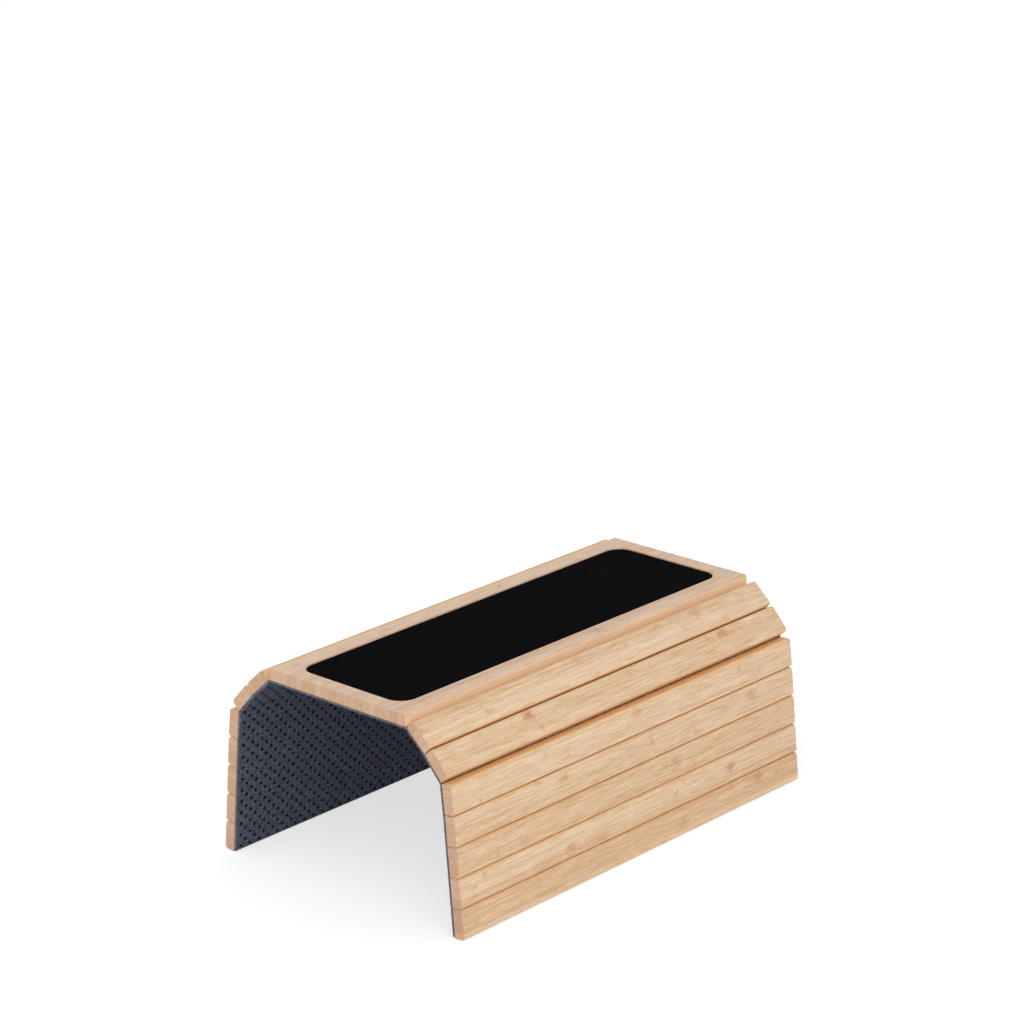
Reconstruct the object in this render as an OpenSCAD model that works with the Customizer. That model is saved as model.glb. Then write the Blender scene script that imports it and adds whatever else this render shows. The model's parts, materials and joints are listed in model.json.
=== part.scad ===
// Flexible tray that lies over the arm of a sofa.
// A wide bamboo board carries a black grip pad, and seven narrow bamboo slats hang on each
// side of it. One sheet of felt is glued under all the wood and is the hinge at every joint.
// The origin is on the ground under the middle of the board. X runs across the slats, Y runs
// along them and Z is up. The tray is drawn folded, standing on the last slat of each side.

/* [Wood] */
// Width of the centre board, from joint line to joint line
board_w = 118; // [90:1:160]
// Length of the board and of every slat
tray_len = 330; // [200:5:450]
// Thickness of the bamboo
wood_t = 8; // [6:0.5:12]
// Distance from one joint line to the next
slat_pitch = 20; // [16:1:30]
// Saw gap between two neighbouring slats
kerf = 0.4; // [0.2:0.1:1]
// Radius of the rounded upper edges along every slat
edge_r = 2.2; // [0.5:0.1:3]

/* [Recess and grip pad] */
// Wood left between the recess and the long sides of the board
side_margin = 14; // [8:1:25]
// Wood left between the recess and the ends of the board
end_margin = 11.5; // [6:0.5:40]
// Corner radius of the recess, seen from above
recess_r = 12; // [4:1:20]
// Depth of the recess
recess_depth = 3; // [1.5:0.1:4]
// How far the pad lies below the top of the board
pad_drop = 0.9; // [0.3:0.1:1.2]
// Gap between the edge of the pad and the wall of the recess
pad_gap = 0.3; // [0.1:0.1:1]

/* [Felt] */
// Thickness of the felt sheet
felt_t = 1.5; // [1:0.1:3]
// How far the felt stops short of the free edge of the last slat
felt_short = 1; // [0:0.5:4]

/* [Folds at rest] */
// Fold at joint 1, next to the board, in degrees
fold_angle_1 = 42; // [0:1:50]
// Fold at joint 2, in degrees
fold_angle_2 = 6; // [0:1:38]
// Fold at joint 3, in degrees
fold_angle_3 = 35.5; // [0:0.5:38]
// Fold at joint 4, in degrees
fold_angle_4 = 1.5; // [0:0.5:38]
// Fold at joint 5, in degrees
fold_angle_5 = 0; // [0:1:38]
// Fold at joint 6, in degrees
fold_angle_6 = 0; // [0:1:38]
// Fold at joint 7, in degrees
fold_angle_7 = 0; // [0:1:38]

/* [Largest folds] */
// Largest fold at joint 1, in degrees
first_angle_most = 50; // [50:1:60]
// Largest fold at joints 2 to 7, in degrees
angle_most = 38; // [38:1:44]

/* [Hidden] */
fold_angles = [
  fold_angle_1, fold_angle_2, fold_angle_3, fold_angle_4,
  fold_angle_5, fold_angle_6, fold_angle_7
];
slats = len(fold_angles);
sides = ["left", "right"];
$fn = 48;

bamboo = "burlywood";
black_pad = "#141416";
charcoal_felt = "#4a4f57";

// Each hinge line runs through the middle of the felt
hinge_depth = felt_t / 2;
board_solid_w = board_w - kerf;
slat_w = slat_pitch - kerf;
recess_w = board_w - 2 * side_margin;
recess_len = tray_len - 2 * end_margin;
// Half of the slit between two neighbouring pieces of felt at a hinge line
felt_slit = 0.05;
// Cutters reach this far past the faces that they cut
over = 1;

// Slope of slat n below the horizontal
function slope(n) = n < 1 ? 0 : slope(n - 1) + fold_angles[n - 1];
// Place of hinge line n, measured from the middle of the tray and from the first hinge line
function hinge_x(n) = n <= 1 ? board_w / 2 : hinge_x(n - 1) + slat_pitch * cos(slope(n - 1));
function hinge_z(n) = n <= 1 ? 0 : hinge_z(n - 1) - slat_pitch * sin(slope(n - 1));
// Height of the point that is u along slat n and v above its hinge line
function height_on(n, u, v) = hinge_z(n) - u * sin(slope(n)) + v * cos(slope(n));
function angle_most_at(n) = n == 1 ? first_angle_most : angle_most;
// How far the felt is cut back at its lower face beside joint n, so that it can fold
function felt_cut(n) = felt_slit + hinge_depth * tan(angle_most_at(n) / 2);
// How far the felt reaches along slat n
function felt_reach(n) = slat_pitch - (n < slats ? felt_slit : kerf / 2 + felt_short);

// Lowest corner of every slat and of its felt, and the level of the first hinge line
low_points = [for (n = [1:slats]) each [
  height_on(n, slat_pitch - kerf / 2, hinge_depth),
  height_on(n, slat_pitch - kerf / 2, hinge_depth + wood_t),
  height_on(n, felt_reach(n), -hinge_depth)
]];
hinge_level = -min(concat(low_points, [-hinge_depth]));
wood_level = hinge_level + hinge_depth;
top_level = wood_level + wood_t;

echo(tray_size_flat = [board_w + 2 * slats * slat_pitch - kerf, tray_len, wood_t + felt_t]);
echo(board_underside = hinge_level - hinge_depth, board_top = top_level);
echo(hinges = [for (n = [1:slats]) [hinge_x(n), hinge_level + hinge_z(n)]]);

// Section across a strip of wood: square below, with rounded upper edges
module wood_section(w) {
  square([w, wood_t - edge_r]);
  translate([edge_r, 0]) square([w - 2 * edge_r, wood_t]);
  for (x = [edge_r, w - edge_r])
    translate([x, wood_t - edge_r]) circle(r = edge_r);
}

// Stretches a section drawn in X and Z along the whole tray
module along_tray() {
  translate([0, tray_len / 2, 0])
    rotate([90, 0, 0])
      linear_extrude(tray_len)
        children();
}

module rounded_plate(w, l, r, h) {
  linear_extrude(h) {
    square([w - 2 * r, l], center = true);
    square([w, l - 2 * r], center = true);
    for (x = [-1, 1], y = [-1, 1])
      translate([x * (w / 2 - r), y * (l / 2 - r)]) circle(r = r);
  }
}

// Puts a piece drawn on the right side, from its hinge line outwards, in its place on slat n
module on_slat(side, n) {
  mirror([side == "left" ? 1 : 0, 0, 0])
    translate([hinge_x(n), 0, hinge_level + hinge_z(n)])
      rotate([0, slope(n), 0])
        children();
}

module centre_board() {
  color(bamboo)
    difference() {
      translate([-board_solid_w / 2, 0, wood_level])
        along_tray() wood_section(board_solid_w);
      translate([0, 0, top_level - recess_depth])
        rounded_plate(recess_w, recess_len, recess_r, recess_depth + over);
    }
}

module grip_pad() {
  color(black_pad)
    translate([0, 0, top_level - recess_depth])
      rounded_plate(
        recess_w - 2 * pad_gap,
        recess_len - 2 * pad_gap,
        recess_r - pad_gap,
        recess_depth - pad_drop
      );
}

module slat(side, n) {
  color(bamboo)
    on_slat(side, n)
      translate([kerf / 2, 0, hinge_depth])
        along_tray() wood_section(slat_w);
}

// Section across a strip of felt from near to far, cut back at its lower corners
module felt_section(near, far, near_low, far_low) {
  polygon([
    [near, hinge_depth],
    [near, 0],
    [near_low, -hinge_depth],
    [far_low, -hinge_depth],
    [far, 0],
    [far, hinge_depth]
  ]);
}

module felt_strip(side, n) {
  far = felt_reach(n);
  color(charcoal_felt)
    on_slat(side, n)
      along_tray()
        felt_section(
          felt_slit, far,
          felt_cut(n), n < slats ? slat_pitch - felt_cut(n + 1) : far
        );
}

module felt_centre() {
  half = board_w / 2;
  color(charcoal_felt)
    translate([0, 0, hinge_level])
      along_tray()
        felt_section(
          felt_slit - half, half - felt_slit,
          felt_cut(1) - half, half - felt_cut(1)
        );
}

centre_board();
grip_pad();
felt_centre();
for (side = sides, n = [1:slats]) {
  slat(side, n);
  felt_strip(side, n);
}
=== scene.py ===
"""Bamboo sofa arm tray: its visible pieces, their finishes and a plain studio stage."""

import json
import math
import random

import bmesh
import bpy
from bpy.props import FloatProperty, FloatVectorProperty, IntProperty, PointerProperty
from bpy.types import Operator, Panel, PropertyGroup
from mathutils import Matrix, Vector, noise
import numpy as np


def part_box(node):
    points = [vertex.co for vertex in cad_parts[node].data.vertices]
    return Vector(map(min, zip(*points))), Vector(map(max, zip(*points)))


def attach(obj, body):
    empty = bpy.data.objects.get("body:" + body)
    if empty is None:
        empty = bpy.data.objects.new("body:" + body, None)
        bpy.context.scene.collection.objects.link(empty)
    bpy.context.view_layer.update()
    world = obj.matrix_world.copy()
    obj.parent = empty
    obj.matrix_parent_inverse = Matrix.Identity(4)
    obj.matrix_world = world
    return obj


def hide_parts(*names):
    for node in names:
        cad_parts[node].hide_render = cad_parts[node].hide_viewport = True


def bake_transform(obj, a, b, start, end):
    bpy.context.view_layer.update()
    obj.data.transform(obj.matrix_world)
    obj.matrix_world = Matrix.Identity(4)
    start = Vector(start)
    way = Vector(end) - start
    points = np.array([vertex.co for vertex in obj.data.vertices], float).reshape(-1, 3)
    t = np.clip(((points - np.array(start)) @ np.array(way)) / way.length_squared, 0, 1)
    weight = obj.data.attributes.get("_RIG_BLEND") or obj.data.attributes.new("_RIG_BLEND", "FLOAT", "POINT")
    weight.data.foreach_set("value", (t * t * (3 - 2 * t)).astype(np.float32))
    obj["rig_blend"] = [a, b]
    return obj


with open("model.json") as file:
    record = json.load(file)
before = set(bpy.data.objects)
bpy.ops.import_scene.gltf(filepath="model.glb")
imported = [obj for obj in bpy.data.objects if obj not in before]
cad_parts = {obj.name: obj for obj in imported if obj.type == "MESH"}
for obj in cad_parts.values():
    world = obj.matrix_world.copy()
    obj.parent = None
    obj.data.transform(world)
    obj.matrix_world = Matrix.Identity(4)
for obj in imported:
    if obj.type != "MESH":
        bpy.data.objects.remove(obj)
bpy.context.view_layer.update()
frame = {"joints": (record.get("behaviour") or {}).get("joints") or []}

bl_info = {
    "name": "Sofa arm tray",
    "version": (1, 0, 0),
    "blender": (4, 5, 0),
    "location": "3D View > Sidebar > Arm tray",
    "description": "Dresses a folding bamboo arm tray: board, slats, grip pad, felt and grip dots",
    "category": "Object",
}

MM = 0.001

# Sizes that the frame gives, in metres
BOARD_LOW, BOARD_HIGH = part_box("centre_board")
PAD_LOW, PAD_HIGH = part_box("grip_pad")
FELT_LOW, FELT_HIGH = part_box("felt_centre")
JOINTS = {joint["name"]: joint for joint in frame["joints"]}
SIDES = ("left", "right")
OUTWARD = {"left": -1, "right": 1}
SLATS = len(JOINTS) // len(SIDES)
TRAY_LENGTH = BOARD_HIGH.y - BOARD_LOW.y
WOOD_THICK = BOARD_HIGH.z - BOARD_LOW.z
FELT_THICK = FELT_HIGH.z - FELT_LOW.z
ROOT_BODY = "tray"


def hinge(side, n):
    """The point where hinge line n of a side crosses the middle of the tray."""
    return Vector(JOINTS[f"fold_{side}_{n}"]["pos_m"])


def fold(side, n):
    """Fold at joint n at rest, in radians, from the flat tray."""
    return math.radians(-JOINTS[f"fold_{side}_{n}"]["range_deg"][0])


def slope(side, n):
    """Slope of slat n below the horizontal at rest, in radians. The board is slat 0."""
    return sum(fold(side, k) for k in range(1, n + 1))


def body_name(side, n):
    return f"{side}_{n}" if n else ROOT_BODY


PITCH = (hinge("right", 2) - hinge("right", 1)).length
HALF_BOARD = hinge("right", 1).x
KERF = 2 * (HALF_BOARD - BOARD_HIGH.x)


def display(red, green, blue):
    """A colour read off a screen, 0 to 255, as scene linear values."""
    def linear(value):
        share = value / 255
        return share / 12.92 if share <= 0.04045 else ((share + 0.055) / 1.055) ** 2.4
    return linear(red), linear(green), linear(blue)


def length_property(label, text, default):
    return FloatProperty(name=label, description=text, default=default, min=0.0,
                         subtype="DISTANCE", unit="LENGTH", precision=5)


def colour_property(label, text, default):
    return FloatVectorProperty(name=label, description=text, default=default, size=3,
                               min=0.0, max=1.0, subtype="COLOR")


def share_property(label, text, default):
    return FloatProperty(name=label, description=text, default=default, min=0.0, max=1.0,
                         subtype="FACTOR")


class ArmTrayWood(PropertyGroup):
    """Sizes and colours of the board and the slats."""
    edge_radius: length_property(
        "Edge radius", "Radius of the rounded upper edges along the wood", 2.2 * MM)
    end_ease: length_property(
        "Eased ends", "Width of the sanded edge round each end face", 0.35 * MM)
    recess_gap: length_property(
        "Gap round the pad", "Gap between the grip pad and the recess", 0.3 * MM)
    recess_radius: length_property(
        "Recess corners", "Corner radius of the recess, seen from above", 12 * MM)
    lip: length_property(
        "Recess lip", "Width of the rounded lip round the recess", 0.5 * MM)
    strip_width: length_property(
        "Strip width", "Usual width of one bamboo strip in the laminate", 5.8 * MM)
    knuckle_spacing: length_property(
        "Knuckle spacing", "Distance between the knuckles of one bamboo strip", 190 * MM)
    light: colour_property(
        "Light bamboo", "Colour of the palest fibres of the slats", display(238, 212, 180))
    dark: colour_property(
        "Dark bamboo", "Colour of the darkest fibres of the slats", display(204, 160, 114))
    board_light: colour_property(
        "Light board", "Colour of the palest fibres of the board", display(232, 204, 178))
    # Painted light: a paler colour on the board's sides, saw cuts and rounded edges stands in for light they
    # get too little of
    board_rim_painted_light: colour_property(
        "Board edges", "Tint of the board's rounded edges and saw cuts", display(252, 226, 188))
    board_dark: colour_property(
        "Dark board", "Colour of the darkest fibres of the board", display(200, 158, 124))
    knuckle: colour_property(
        "Knuckle", "Colour of the marks where the cane has its knuckles", display(184, 118, 66))
    # Painted bounce light: a warm golden colour in the saw cuts and on the rounded edges of the slats stands
    # in for light thrown back between neighbouring pieces
    rim_painted_light: colour_property(
        "Rim Painted Light", "Tint of the slats' rounded edges and saw cuts", display(244, 186, 106))
    end_light: colour_property(
        "Light end grain", "Palest colour of the end faces", display(224, 190, 160))
    end_dark: colour_property(
        "Dark end grain", "Darkest colour of the end faces", display(180, 134, 102))


class ArmTrayPad(PropertyGroup):
    """Size and colour of the grip pad."""
    edge: length_property("Edge", "Radius of the pad's upper edge", 0.4 * MM)
    colour: colour_property("Pad", "Colour of the pad", display(5, 5, 7))
    grain: colour_property("Pad grain", "Colour of the pad's raised grain", display(11, 11, 14))


class ArmTrayFelt(PropertyGroup):
    """Sizes and colours of the felt sheet, its fibres and its grip dots."""
    bend: length_property(
        "Bend", "Half of the length over which the felt turns at a joint", 1.7 * MM)
    short_edge: length_property(
        "Short edge", "How far the felt stops short of the last slat's free edge", 1 * MM)
    waviness: length_property(
        "Waviness", "Unevenness of the lower face and of the cut edges", 0.12 * MM)
    dark: colour_property("Dark felt", "Colour between the fibres", display(26, 30, 43))
    light: colour_property("Light felt", "Colour of the fibres on top", display(122, 128, 152))
    # Painted sheen: this pale colour on the cut edges and loose fibres stands in for light caught by the
    # fibres
    cut: colour_property("Cut edge", "Colour of the fuzzy cut edges", display(144, 141, 152))
    dot_colour: colour_property("Grip dots", "Colour of the grip dots", display(5, 6, 10))
    dot_width: length_property("Dot width", "Width of one grip dot", 2.3 * MM)
    dot_height: length_property("Dot height", "How far a dot stands out", 0.45 * MM)
    dot_pitch_along: length_property(
        "Dots along", "Distance between the rows of dots along the tray", 8.25 * MM)
    dot_pitch_across: length_property(
        "Dots across", "Distance between the columns of dots across the tray", 7.98 * MM)
    hairs_per_mm: FloatProperty(
        name="Loose fibres", description="Loose fibres on each millimetre of cut edge",
        default=3.0, min=0.0, max=12.0)
    hair_length: length_property("Fibre length", "Usual length of a loose fibre", 1.1 * MM)
    hair_width: length_property("Fibre width", "Width of a loose fibre at its root", 0.09 * MM)
    seed: IntProperty(name="Seed", description="Start of the random draws", default=7)


class ArmTrayStage(PropertyGroup):
    """Camera, light and floor."""
    camera_place: FloatVectorProperty(
        name="Camera", description="Place of the camera", default=(1.4037, -1.5451, 0.9170),
        subtype="TRANSLATION", unit="LENGTH")
    camera_target: FloatVectorProperty(
        name="Target", description="Point that the camera looks at",
        default=(-0.0307, 0.0304, 0.1952), subtype="TRANSLATION", unit="LENGTH")
    camera_lens: FloatProperty(
        name="Lens", description="Focal length in millimetres on a 36 mm frame",
        default=121.22, min=1.0)
    camera_roll: FloatProperty(
        name="Roll", description="Turn of the camera about its line of sight",
        default=math.radians(-0.5), subtype="ANGLE", unit="ROTATION")
    floor_size: length_property("Floor", "Width of the floor", 30.0)
    sky: share_property("Sky", "Strength of the even light from all round", 0.74)
    key_power: FloatProperty(
        name="Key light", description="Power of the large light at the right, in watts",
        default=8.5, min=0.0)
    front_power: FloatProperty(
        name="Front light", description="Power of the light beside the camera, in watts",
        default=9.5, min=0.0)


SETTINGS = {
    "arm_tray_wood": ArmTrayWood,
    "arm_tray_pad": ArmTrayPad,
    "arm_tray_felt": ArmTrayFelt,
    "arm_tray_stage": ArmTrayStage,
}

# Tone of each piece of wood: above 0 it is darker and more orange than the average
BOARD_TONE = -0.05
SLAT_TONES = {
    "left": (0.1, -0.1, 0.15, 0.0, 0.2, -0.1, 0.1),
    "right": (0.1, 0.4, -0.1, -0.15, 0.15, 0.2, 0.15),
}
# The two strongest knuckles of each piece: millimetres out of its middle line,
# millimetres from the middle of its length, and strength
BOARD_KNUCKLES = ((53, 20, 0.6), (-52, -70, 0.3))
SLAT_KNUCKLES = {
    "left": (((3, -40, 0.5), (-5, 80, 0.4)), ((-4, 70, 0.6), (4, -90, 0.5)),
             ((2, -100, 0.6), (-6, 30, 0.5)), ((5, 20, 0.5), (-3, -120, 0.6)),
             ((-3, 110, 0.6), (5, -30, 0.4)), ((4, -60, 0.7), (-5, 60, 0.5)),
             ((0, 35, 0.6), (6, -110, 0.5))),
    "right": (((-6, -19, 0.4), (-5, 98, 0.5)), ((-6, -81, 1.0), (-6, 108, 0.9)),
              ((-5, 7, 0.5), (4, -90, 0.2)), ((-3, 120, 0.5), (-5, -66, 0.55)),
              ((-1, 41, 0.7), (5, -105, 0.5)), ((-1, 95, 0.9), (3, -64, 0.7)),
              ((1, 45, 0.6), (-5.5, 123, 0.7))),
}


class NodeDesk:
    """Places shader nodes in one tree, in columns, and joins them."""

    ROWS = 8
    STEP_X = 190
    STEP_Y = 230

    def __init__(self, tree):
        self.tree = tree
        self.count = 0

    def node(self, kind, inputs=None, **settings):
        made = self.tree.nodes.new(kind)
        column, row = divmod(self.count, self.ROWS)
        made.location = (column * self.STEP_X, -row * self.STEP_Y)
        self.count += 1
        for name, value in settings.items():
            setattr(made, name, value)
        for name, value in (inputs or {}).items():
            self.feed(made.inputs[name], value)
        return made

    def feed(self, socket, value):
        if isinstance(value, bpy.types.NodeSocket):
            self.tree.links.new(value, socket)
        elif value is not None:
            socket.default_value = value

    def math(self, operation, a, b=None, c=None, clamp=False):
        return self.node("ShaderNodeMath", {0: a, 1: b, 2: c},
                         operation=operation, use_clamp=clamp).outputs[0]

    def sum_of(self, *parts):
        """Sum of (value, weight) pairs."""
        total = 0.0
        for value, weight in parts:
            total = self.math("MULTIPLY_ADD", value, weight, total)
        return total

    def ramp(self, value, low, high):
        """0 at low and 1 at high, smooth between."""
        return self.node("ShaderNodeMapRange",
                         {"Value": value, "From Min": low, "From Max": high},
                         interpolation_type="SMOOTHSTEP").outputs["Result"]

    def fall(self, value, low, high):
        """1 at low and 0 at high, smooth between."""
        return self.math("SUBTRACT", 1.0, self.ramp(value, low, high))

    def scaled(self, vector, factors):
        return self.node("ShaderNodeVectorMath", {0: vector, 1: factors},
                         operation="MULTIPLY").outputs[0]

    def split(self, vector):
        return self.node("ShaderNodeSeparateXYZ", {0: vector}).outputs

    def joined(self, x, y, z):
        return self.node("ShaderNodeCombineXYZ", {0: x, 1: y, 2: z}).outputs[0]

    def noise(self, vector, scale=1.0, detail=2.0, roughness=0.5):
        return self.node("ShaderNodeTexNoise",
                         {"Vector": vector, "Scale": scale, "Detail": detail,
                          "Roughness": roughness}).outputs["Fac"]

    def blend(self, factor, a, b, blend_type="MIX"):
        made = self.node("ShaderNodeMix", data_type="RGBA", blend_type=blend_type,
                         clamp_factor=True)
        for socket, value in zip((made.inputs[0], made.inputs[6], made.inputs[7]),
                                 (factor, a, b)):
            self.feed(socket, value)
        return made.outputs[2]

    def attribute(self, name, output="Fac"):
        return self.node("ShaderNodeAttribute", attribute_name=name).outputs[output]


def new_group(name, inputs, outputs):
    """A shader group with named sockets: (kind, name, default) in, (kind, name) out."""
    tree = bpy.data.node_groups.new(name, "ShaderNodeTree")
    for kind, label, default in inputs:
        socket = tree.interface.new_socket(label, in_out="INPUT", socket_type=kind)
        if default is not None:
            socket.default_value = default
    for kind, label in outputs:
        tree.interface.new_socket(label, in_out="OUTPUT", socket_type=kind)
    desk = NodeDesk(tree)
    return tree, desk, desk.node("NodeGroupInput").outputs


SHARED = {}
FLOAT, VECTOR, COLOUR = "NodeSocketFloat", "NodeSocketVector", "NodeSocketColor"


def opaque(colour):
    return (*colour, 1.0)


KNUCKLES = ("Knuckle A", "Knuckle B")


def bamboo_group():
    """Laminated bamboo: narrow strips with fibres, knuckles, painted light on the edges and in the saw cuts,
    and end grain.
    """
    tree, desk, given = new_group(
        "laminated bamboo",
        [(VECTOR, "Place", None), (VECTOR, "Half Size", None),
         (VECTOR, KNUCKLES[0], None), (VECTOR, KNUCKLES[1], None),
         (FLOAT, "Seed", 0.0), (FLOAT, "Tone", 0.0), (FLOAT, "End", 0.0),
         (FLOAT, "Free Side", 0.0),
         (FLOAT, "Strip Width", 5.8), (FLOAT, "Knuckle Spacing", 190.0),
         (COLOUR, "Light", None), (COLOUR, "Dark", None), (COLOUR, "Knuckle Colour", None),
         (COLOUR, "Rim Painted Light", None), (COLOUR, "End Light", None), (COLOUR, "End Dark", None)],
        [(COLOUR, "Colour"), (FLOAT, "Roughness"), (FLOAT, "Height")])
    x, y, z = desk.split(desk.scaled(given["Place"], (1000, 1000, 1000)))
    half_x = desk.split(desk.scaled(given["Half Size"], (1000, 1000, 1000)))[0]
    seed = given["Seed"]

    # Each strip of the laminate has its own random colour and its own fibres
    strip_at = desk.math("MULTIPLY_ADD", seed, 13.7, desk.math("DIVIDE", x, given["Strip Width"]))
    strips = desk.node("ShaderNodeTexVoronoi", {"W": strip_at, "Scale": 1.0, "Randomness": 0.4},
                       voronoi_dimensions="1D")
    joint_gap = desk.node("ShaderNodeTexVoronoi",
                          {"W": strip_at, "Scale": 1.0, "Randomness": 0.4},
                          voronoi_dimensions="1D", feature="DISTANCE_TO_EDGE").outputs["Distance"]
    own_tone, own_grain, own_phase = desk.node(
        "ShaderNodeSeparateColor", {0: strips.outputs["Color"]}).outputs

    # Knuckles of the cane, spaced along each strip at its own phase
    turn = desk.sum_of((desk.math("DIVIDE", y, given["Knuckle Spacing"]), 1.0),
                       (own_phase, 3.0), (seed, 0.37))
    cell = desk.math("FLOOR", turn)
    from_knuckle = desk.math(
        "MULTIPLY", desk.math("SUBTRACT", desk.math("FRACT", turn), 0.5),
        given["Knuckle Spacing"])
    wander = desk.noise(desk.joined(x, desk.math("MULTIPLY", y, 0.6), seed), 0.55, 3.0, 0.6)
    sway = desk.math("SUBTRACT", wander, 0.5)
    shifted = desk.math("ABSOLUTE", desk.math("MULTIPLY_ADD", sway, 9.0, from_knuckle))
    chance = desk.node("ShaderNodeTexWhiteNoise",
                       {"Vector": desk.joined(cell, own_phase, seed)}).outputs["Value"]

    # How far the nearer one of the piece's two strongest knuckles is, and how strong it is
    reaches, blots = [], []
    for label in KNUCKLES:
        kx, ky, strength = desk.split(desk.scaled(given[label], (1000, 1000, 1000)))
        off_x = desk.math("DIVIDE", desk.math("SUBTRACT", x, kx), 3.3)
        off_y = desk.math("DIVIDE", desk.math("SUBTRACT", y, ky), 4.6)
        reach = desk.math("SQRT", desk.sum_of((desk.math("MULTIPLY", off_x, off_x), 1.0),
                                              (desk.math("MULTIPLY", off_y, off_y), 1.0)))
        reach = desk.math("MULTIPLY_ADD", sway, 2.2, reach)
        reaches.append(reach)
        blots.append(desk.math("MULTIPLY", desk.fall(reach, 0.4, 1.6), strength))
    reach = desk.math("MINIMUM", *reaches)
    blot = desk.math("MAXIMUM", *blots)

    # Fibres bow sideways round a knuckle
    bend = desk.math("MAXIMUM", desk.fall(shifted, 2.0, 12.0), desk.fall(reach, 0.5, 3.0))
    fx = desk.math("MULTIPLY_ADD", desk.math("MULTIPLY", bend, sway), 3.0, x)
    own_place = desk.math("MULTIPLY_ADD", own_grain, 60.0, desk.math("MULTIPLY", seed, 5.3))

    def fibres(across, along, detail, roughness):
        """Streaks: so many across and so many along on each millimetre."""
        return desk.noise(desk.joined(
            desk.math("MULTIPLY_ADD", fx, across, own_place),
            desk.math("MULTIPLY", y, along),
            desk.math("MULTIPLY", z, across)), 1.0, detail, roughness)

    streaks = fibres(0.45, 0.009, 3.0, 0.6)
    strokes = fibres(1.15, 0.04, 3.0, 0.65)
    threads = fibres(3.2, 0.1, 3.0, 0.6)
    fine = fibres(7.0, 0.25, 2.0, 0.5)
    dashes = desk.ramp(fibres(1.3, 0.06, 2.0, 0.6), 0.56, 0.66)
    ragged = desk.ramp(fibres(1.6, 0.2, 3.0, 0.65), 0.36, 0.6)

    # A knuckle is a ragged patch with a thin curved line across the strip
    line = desk.fall(shifted, 0.15, 0.75)
    patch = desk.math("MULTIPLY", desk.fall(shifted, 0.4, 3.6), ragged)
    mark = desk.sum_of((line, 0.45), (patch, 0.55))
    mark = desk.math("MULTIPLY", mark, desk.math("MULTIPLY_ADD", chance, 0.7, 0.15))
    mark = desk.math("MULTIPLY", mark, desk.ramp(joint_gap, 0.0, 0.2))
    mark = desk.math("MAXIMUM", mark, desk.math(
        "MULTIPLY", blot, desk.math("MULTIPLY_ADD", ragged, 0.75, 0.25)))

    shade = desk.sum_of((desk.math("SUBTRACT", own_tone, 0.5), 0.36),
                        (desk.math("SUBTRACT", streaks, 0.5), 1.1),
                        (desk.math("SUBTRACT", strokes, 0.5), 1.6),
                        (desk.math("SUBTRACT", threads, 0.5), 1.6),
                        (desk.math("SUBTRACT", fine, 0.5), 0.5),
                        (given["Tone"], 0.5))
    shade = desk.math("ADD", shade, 0.36, clamp=True)
    face = desk.blend(shade, given["Light"], given["Dark"])
    face = desk.blend(desk.math("MULTIPLY", dashes, 0.5), face, given["Dark"])
    face = desk.blend(desk.math("MULTIPLY", mark, 0.85), face, given["Knuckle Colour"])
    seam = desk.fall(joint_gap, 0.0, 0.035)
    face = desk.blend(desk.math("MULTIPLY", seam, 0.25), face, given["Dark"])

    # Painted bounce light: the saw cuts between the pieces get a golden colour, paler on the board, which
    # fades on the rounded edges and stands in for light thrown back between neighbouring pieces; a free side
    # gets none
    from_side = desk.math("SUBTRACT", half_x, desk.math("ABSOLUTE", x))
    rim = desk.sum_of((desk.fall(z, 5.0, 7.8), 0.33), (desk.fall(from_side, 0.0, 2.4), 0.18),
                      (desk.fall(z, 1.0, 6.0), 0.24))
    free = desk.math("MULTIPLY", desk.math("SIGN", x), given["Free Side"])
    rim = desk.math("MULTIPLY", rim, desk.math("SUBTRACT", 1.0, free, clamp=True))
    face = desk.blend(rim, face, given["Rim Painted Light"])

    # End grain: the cut ends of the strips, with the dots of their fibre bundles
    bundles = desk.node("ShaderNodeTexVoronoi",
                        {"Vector": desk.joined(x, desk.math("MULTIPLY", seed, 3.1), z),
                         "Scale": 1.9}).outputs["Distance"]
    crowd = desk.noise(desk.joined(desk.math("MULTIPLY_ADD", own_grain, 9.0, x), seed, z), 0.35)
    spots = desk.math("MULTIPLY", desk.fall(bundles, 0.12, 0.36), desk.ramp(crowd, 0.38, 0.6))
    cloud = desk.noise(desk.joined(desk.math("ADD", x, own_place), seed, z), 0.9, 4.0, 0.65)
    end_shade = desk.sum_of((desk.math("SUBTRACT", own_tone, 0.5), 0.3),
                            (desk.math("SUBTRACT", cloud, 0.5), 1.2), (given["Tone"], 0.3))
    end_face = desk.blend(desk.math("ADD", end_shade, 0.35, clamp=True),
                          given["End Light"], given["End Dark"])
    end_face = desk.blend(desk.math("MULTIPLY", spots, 0.55), end_face, given["End Dark"])
    end_face = desk.blend(desk.math("MULTIPLY", desk.fall(joint_gap, 0.0, 0.07), 0.5),
                          end_face, given["End Dark"])
    colour = desk.blend(given["End"], face, end_face)

    gloss = desk.sum_of((desk.math("SUBTRACT", threads, 0.5), 0.25), (given["End"], 0.22))
    roughness = desk.math("ADD", gloss, 0.5)
    height = desk.sum_of((threads, 0.35), (fine, 0.35), (dashes, -0.3), (seam, -0.5),
                         (mark, -0.2), (desk.math("MULTIPLY", cloud, given["End"]), 0.6))
    desk.node("NodeGroupOutput", {"Colour": colour, "Roughness": roughness, "Height": height})
    return tree


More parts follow.
